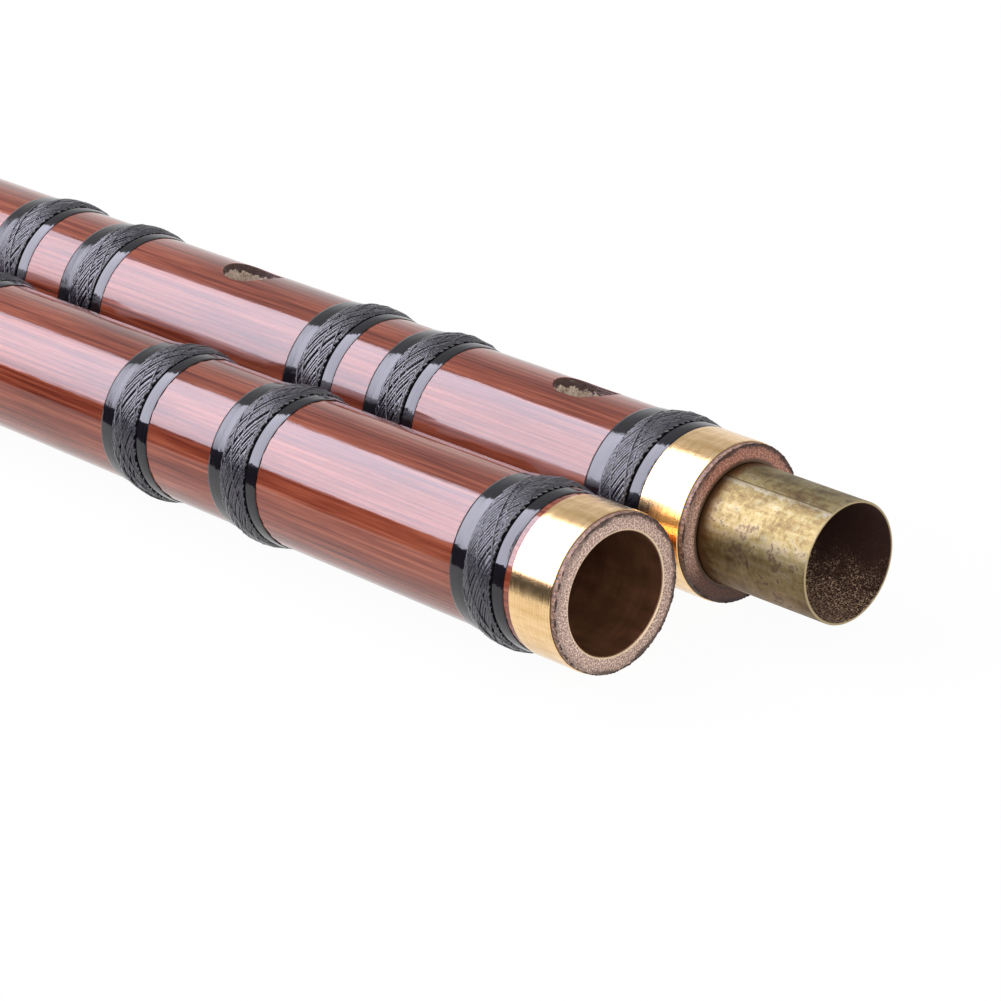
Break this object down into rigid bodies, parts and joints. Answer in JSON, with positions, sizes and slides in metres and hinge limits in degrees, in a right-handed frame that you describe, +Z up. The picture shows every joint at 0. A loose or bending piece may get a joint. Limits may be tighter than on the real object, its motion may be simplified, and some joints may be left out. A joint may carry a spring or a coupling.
{
  "type": "dizi",
  "caption": "Bamboo transverse flute in sections laid side by side, with blow, membrane and finger holes, black thread bindings and a brass tube joint.",
  "frame": {"origin": "bottom centre of the bounding box, on the surface that the sections lie on", "axes": "+X along both sections towards their joint ends, +Y from the foot section to the head section, +Z up"},
  "size_m": [0.3256, 0.0511, 0.0254],
  "materials": {
    "bamboo": "bamboo stained red-brown under clear gloss lacquer, bare end grain",
    "ferrule_brass": "satin brushed brass",
    "lining_brass": "browned brass with a bright rim",
    "aged_brass": "tarnished and blotched brass",
    "binding": "black waxed thread between gloss black lacquer shoulders",
    "bone": "polished bone",
    "cork": "plain cork"
  },
  "bodies": {
    "head": {"head_tube": "bamboo", "head_ferrule": "ferrule_brass", "head_lining": "lining_brass", "head_end_ring": "bone", "head_binding_1": "binding", "head_binding_2": "binding", "head_binding_3": "binding", "head_binding_4": "binding", "head_binding_5": "binding", "head_binding_6": "binding"},
    "tenon": {"tenon": "aged_brass"},
    "stopper": {"stopper": "cork"},
    "foot": {"foot_tube": "bamboo", "foot_ferrule": "ferrule_brass", "socket_lining": "lining_brass", "foot_end_ring": "bone", "foot_binding_1": "binding", "foot_binding_2": "binding", "foot_binding_3": "binding", "foot_binding_4": "binding", "foot_binding_5": "binding", "foot_binding_6": "binding", "foot_binding_7": "binding"}
  },
  "joints": [
    {"name": "foot_turn", "type": "hinge", "parent": "head", "child": "foot", "pos_m": [0, -0.01285, 0.0127], "axis": [1, 0, 0], "continuous": true},
    {"name": "tenon_slide", "type": "slide", "parent": "head", "child": "tenon", "axis": [1, 0, 0], "range_m": [0, 0.012]},
    {"name": "stopper_slide", "type": "slide", "parent": "head", "child": "stopper", "axis": [1, 0, 0], "range_m": [-0.003, 0.003]}
  ]
}
